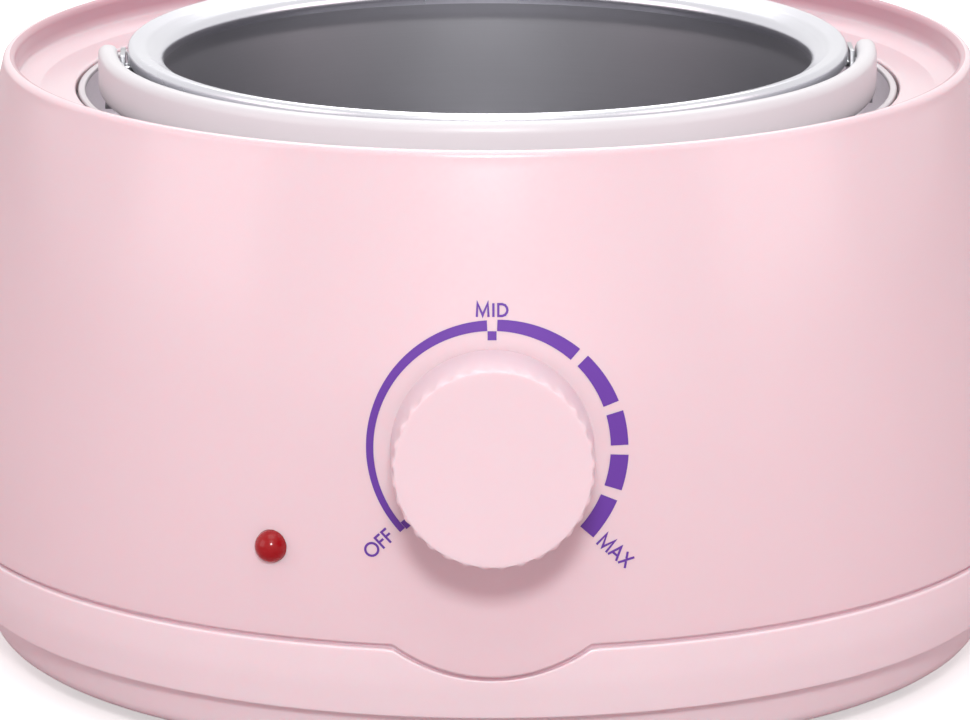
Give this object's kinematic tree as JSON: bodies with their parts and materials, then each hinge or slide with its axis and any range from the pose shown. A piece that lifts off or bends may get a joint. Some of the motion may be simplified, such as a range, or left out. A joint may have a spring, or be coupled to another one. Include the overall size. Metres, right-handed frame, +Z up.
{
  "type": "wax heater",
  "caption": "Round tabletop wax heater with a lift-out metal pot, a folding bail handle, a front thermostat knob and an indicator lamp.",
  "frame": {"origin": "centre of the bounding box on the surface that the feet stand on", "axes": "+Z up, the front with the knob faces -Y, +X to the right seen from the front"},
  "size_m": [0.175, 0.1966, 0.0989],
  "materials": {
    "shell": "glossy pale pink",
    "base": "glossy pale pink",
    "knob": "satin pale pink",
    "pot": "polished and spun",
    "well": "satin",
    "strap": "glossy white",
    "wire": "drawn steel wire and sheet",
    "zinc": "zinc plated",
    "phenolic": "brown moulding",
    "brass": "turned",
    "lamp": "clear red",
    "black": "black",
    "rubber": "grey",
    "sheath": "oxidised sheath",
    "white": "white",
    "brown_wire": "brown sleeve",
    "blue_wire": "blue sleeve",
    "green_wire": "green sleeve"
  },
  "bodies": {
    "casing": {"upper_shell": "shell", "base_pan": "base", "foot_1": "rubber", "foot_2": "rubber", "foot_3": "rubber", "foot_4": "rubber", "base_screw_1": "zinc", "base_screw_2": "zinc", "base_screw_3": "zinc", "base_screw_4": "zinc", "well_clip_1": "zinc", "well_clip_2": "zinc", "well_clip_3": "zinc", "well_clip_4": "zinc", "clip_screw_1": "zinc", "clip_screw_2": "zinc", "clip_screw_3": "zinc", "clip_screw_4": "zinc", "heating_well": "well", "heating_element": "sheath", "element_clamp_plate": "zinc", "element_clamp_nut": "zinc", "terminal_block": "white", "thermal_fuse": "white", "fuse_clip": "zinc", "wire_live": "brown_wire", "wire_switched": "brown_wire", "wire_fused": "brown_wire", "wire_lamp": "brown_wire", "wire_neutral": "blue_wire", "wire_earth": "green_wire", "thermostat_body": "phenolic", "thermostat_bracket": "zinc", "indicator_lens": "lamp", "indicator_holder": "black", "cord_gland": "black", "gland_nut": "black"},
    "knob_body": {"knob": "knob", "knob_clip": "wire", "thermostat_shaft": "brass"},
    "pot_body": {"inner_pot": "pot", "pot_ear_right": "wire", "pot_ear_left": "wire"},
    "handle_body": {"bail_handle": "strap", "bail_hook_right": "wire", "bail_hook_left": "wire"}
  },
  "joints": [
    {"name": "knob_turn", "type": "hinge", "parent": "casing", "child": "knob_body", "pos_m": [0, -0.07741, 0.0532], "axis": [0, 0.9946, -0.1033], "range_deg": [0, 265]},
    {"name": "pot_lift", "type": "slide", "parent": "casing", "child": "pot_body", "axis": [0, 0, 1], "range_m": [0, 0.11]},
    {"name": "handle_swing", "type": "hinge", "parent": "pot_body", "child": "handle_body", "pos_m": [0, 0.00848, 0.0948], "axis": [-0.9995, -0.0305, 0], "range_deg": [0, 181.5]}
  ]
}
